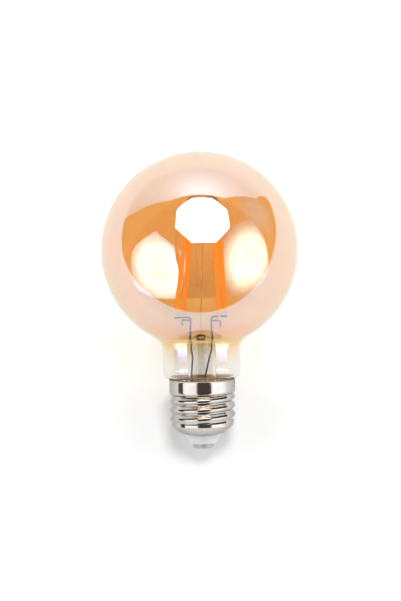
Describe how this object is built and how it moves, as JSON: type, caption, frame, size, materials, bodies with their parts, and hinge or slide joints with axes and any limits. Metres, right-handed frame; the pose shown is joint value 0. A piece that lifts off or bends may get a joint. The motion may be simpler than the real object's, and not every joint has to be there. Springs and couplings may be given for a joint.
{
  "type": "globe light bulb",
  "caption": "Round amber-glass filament bulb with a narrow clear neck and a threaded metal screw cap, giving warm decorative light",
  "frame": {"origin": "middle of the flat of the centre contact, at the lower end of the cap", "axes": "+Z along the bulb's axis from the contact to the crown of the globe, +X to the right in the picture, +Y away from the viewer"},
  "size_m": [0.08, 0.08, 0.1205],
  "materials": {
    "amber_glass": "clear glass with an amber lustre that fades out at the neck",
    "clear_glass": "clear",
    "lead_wire": "dull dark metal",
    "phosphor": "satin yellow-orange silicone",
    "tab_metal": "satin",
    "plated_shell": "bright nickel plate",
    "insulator": "matt",
    "contact": "tinned",
    "cement": "rough",
    "solder": "satin",
    "board": "satin",
    "chip": "matt",
    "capacitor": "gloss",
    "resistor": "gloss"
  },
  "bodies": {
    "root": {"glass_globe": "amber_glass", "glass_stem": "clear_glass", "exhaust_tube": "clear_glass", "lead_wire_left": "lead_wire", "lead_wire_right": "lead_wire", "branch_wire_left": "lead_wire", "branch_wire_right": "lead_wire", "support_wire": "lead_wire", "top_wire_low": "lead_wire", "top_wire_high": "lead_wire", "filament_1": "phosphor", "filament_2": "phosphor", "filament_3": "phosphor", "filament_4": "phosphor", "lower_tab_1": "tab_metal", "lower_tab_2": "tab_metal", "lower_tab_3": "tab_metal", "lower_tab_4": "tab_metal", "upper_tab_1": "tab_metal", "upper_tab_2": "tab_metal", "upper_tab_3": "tab_metal", "upper_tab_4": "tab_metal", "screw_shell": "plated_shell", "cap_insulator": "insulator", "centre_contact": "contact", "cap_cement": "cement", "shell_wire": "lead_wire", "solder_bead": "solder", "driver_board": "board", "bridge_rectifier": "chip", "driver_chip": "chip", "smoothing_capacitor": "capacitor", "fuse_resistor": "resistor"}
  },
  "joints": []
}
